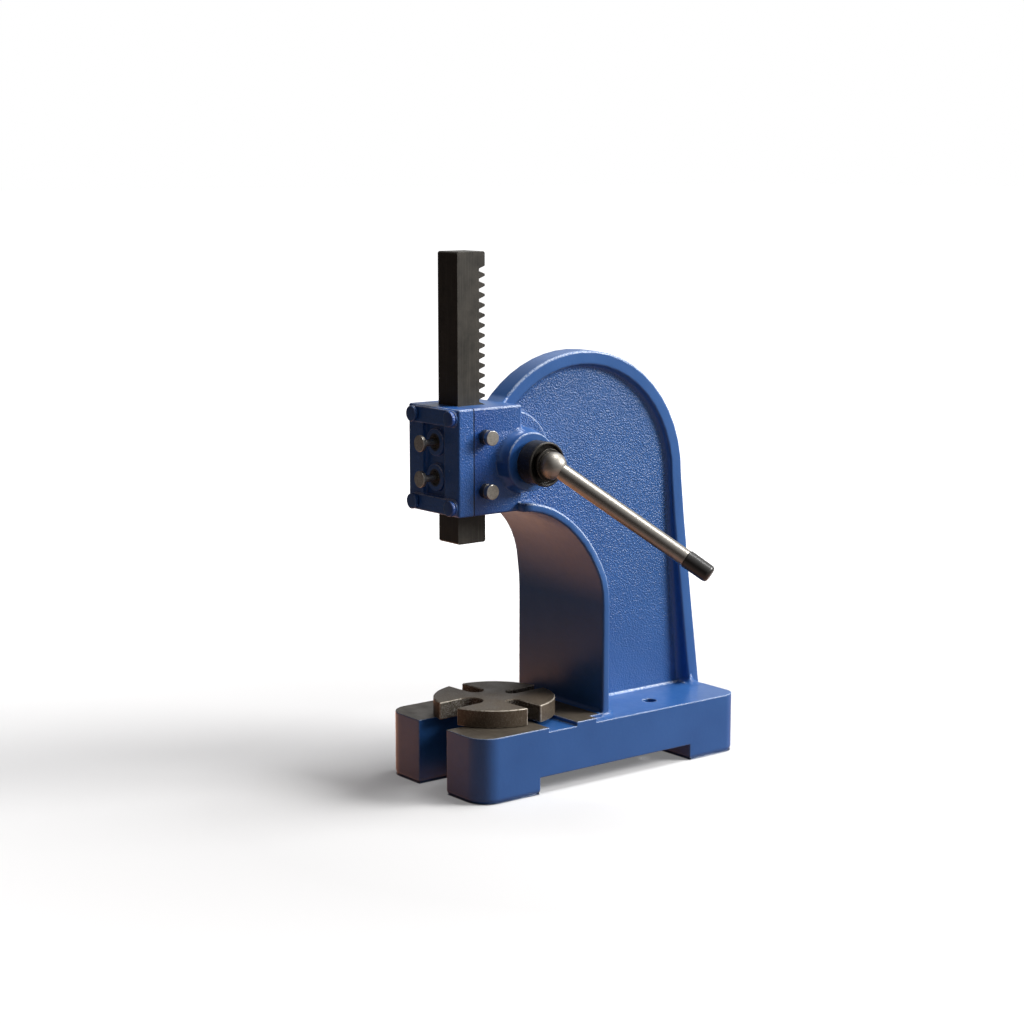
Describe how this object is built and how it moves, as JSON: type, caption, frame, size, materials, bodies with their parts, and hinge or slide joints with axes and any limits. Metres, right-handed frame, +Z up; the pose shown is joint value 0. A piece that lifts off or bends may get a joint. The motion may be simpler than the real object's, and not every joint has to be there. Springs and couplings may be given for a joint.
{
  "type": "arbor press",
  "caption": "Bench arbor press: cast C-frame, square ram driven down by a rack and pinion with a side lever, and a slotted turning anvil plate on the base.",
  "frame": {"origin": "middle of the press's footprint box, on the bench surface", "axes": "+Z up along the ram's stroke, front of the press towards -Y, pinion shaft and lever towards +X"},
  "size_m": [0.2438, 0.2866, 0.4275],
  "materials": {
    "casting_paint": "blue enamel over rough casting",
    "plate_paint": "blue enamel over rough casting",
    "blackened_ram": "black oxide, faint lengthwise grinding",
    "blackened_anvil": "blackened, worn edges",
    "bright_steel": "satin turned",
    "black_steel": "black oxide",
    "machined_steel": "machined",
    "bronze": "machined bronze",
    "black_cap": "satin black"
  },
  "bodies": {
    "frame": {"frame_casting": "casting_paint", "face_plate": "plate_paint", "plate_screw_upper_left": "plate_paint", "plate_screw_upper_right": "plate_paint", "plate_screw_lower_left": "plate_paint", "plate_screw_lower_right": "plate_paint", "front_screw_upper": "bright_steel", "front_screw_lower": "bright_steel", "front_lock_nut_upper": "machined_steel", "front_lock_nut_lower": "machined_steel", "front_gib": "bronze", "side_screw_upper": "bright_steel", "side_screw_lower": "bright_steel", "side_lock_nut_upper": "bright_steel", "side_lock_nut_lower": "bright_steel", "side_gib": "bronze", "bush_right": "bronze", "bush_left": "bronze", "anvil_pin": "machined_steel"},
    "ram": {"ram": "blackened_ram"},
    "pinion": {"pinion_gear": "machined_steel", "pinion_key": "machined_steel", "pinion_shaft": "machined_steel", "retaining_collar": "black_steel", "retaining_screw": "black_steel", "lever_collar": "black_steel", "collar_screw": "black_steel", "ball_screw": "black_steel", "lever_ball": "bright_steel", "lever_rod": "bright_steel", "lever_cap": "black_cap"},
    "anvil": {"anvil_plate": "blackened_anvil"}
  },
  "joints": [
    {"name": "ram_slide", "type": "slide", "parent": "frame", "child": "ram", "axis": [0, 0, 1], "range_m": [-0.1305, 0.0245]},
    {"name": "pinion_turn", "type": "hinge", "parent": "frame", "child": "pinion", "pos_m": [-0.05792, -0.06675, 0.264], "axis": [1, 0, 0], "range_deg": [-60, 316]},
    {"name": "anvil_turn", "type": "hinge", "parent": "frame", "child": "anvil", "pos_m": [-0.05792, -0.0698, 0.0533], "axis": [0, 0, 1], "continuous": true}
  ],
  "couplings": [
    {"joint": "pinion_turn", "follows": "ram_slide", "rad_per_m": -42.105}
  ]
}
